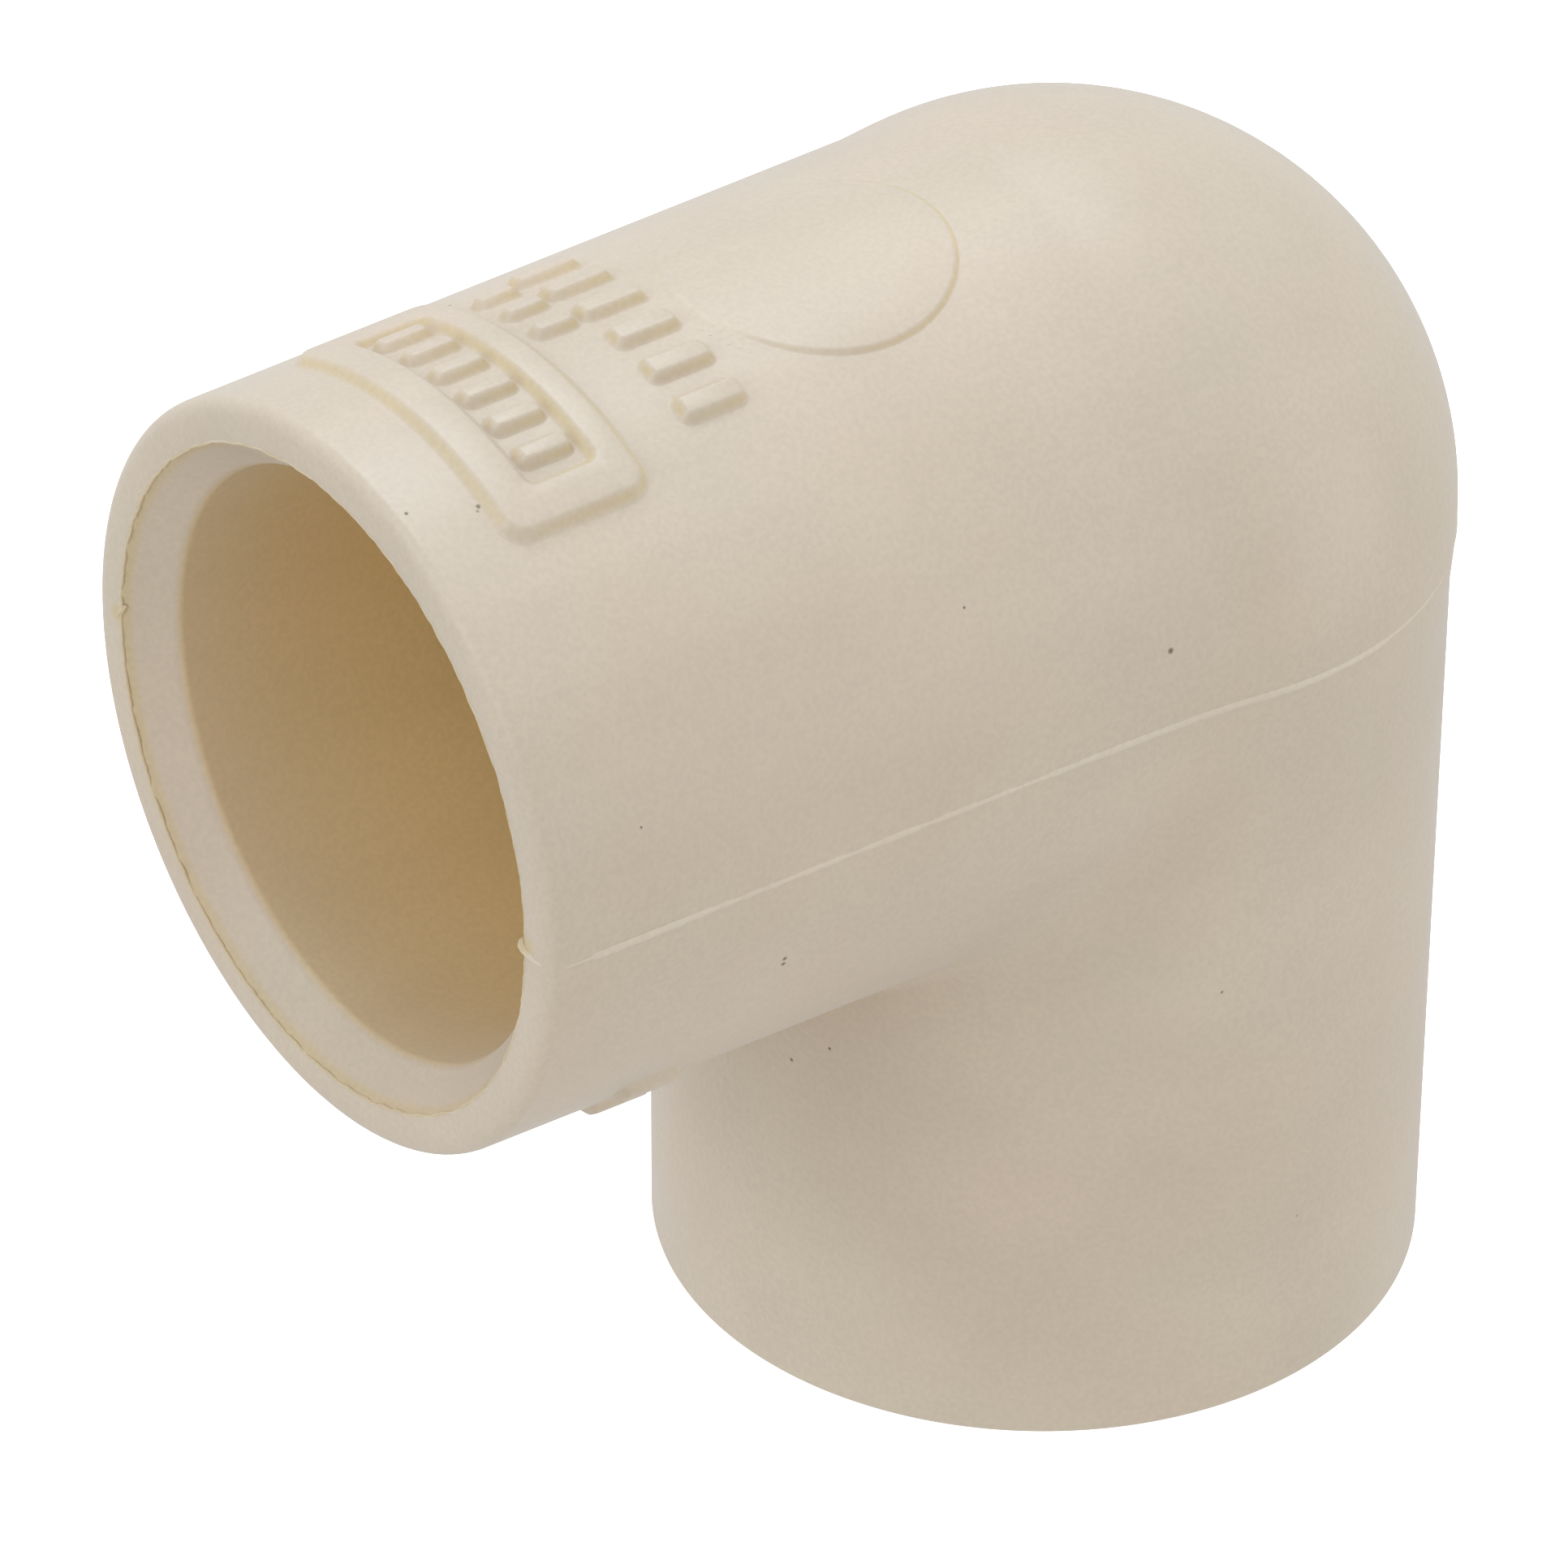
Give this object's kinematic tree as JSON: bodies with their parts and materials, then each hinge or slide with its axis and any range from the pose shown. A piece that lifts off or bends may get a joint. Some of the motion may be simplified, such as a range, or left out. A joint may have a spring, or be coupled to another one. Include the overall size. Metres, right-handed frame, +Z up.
{
  "type": "pipe elbow fitting",
  "caption": "One-piece moulded 90 degree plastic elbow: two plain sockets at a right angle, ball-shaped outer corner, waterway with stops.",
  "frame": {"origin": "centre of the lower socket's mouth, in the plane of its rim, which the fitting stands on", "axes": "+Z up along the lower socket's axis; the side socket's axis runs along X at the height of the bend and its mouth faces -X; the plane Y = 0 holds both axes"},
  "size_m": [0.0337, 0.0212, 0.0338],
  "materials": {
    "ivory_plastic": "satin moulded plastic, slightly translucent"
  },
  "bodies": {
    "root": {"side_hub": "ivory_plastic", "lower_hub": "ivory_plastic", "bend": "ivory_plastic", "side_lip": "ivory_plastic", "panel_border": "ivory_plastic", "panel_bars": "ivory_plastic", "short_bars": "ivory_plastic", "long_bars": "ivory_plastic", "underside_bars": "ivory_plastic", "insert_disc": "ivory_plastic", "parting_flash_near": "ivory_plastic", "parting_flash_far": "ivory_plastic", "parting_flash_back": "ivory_plastic", "rim_burrs": "ivory_plastic"}
  },
  "joints": []
}
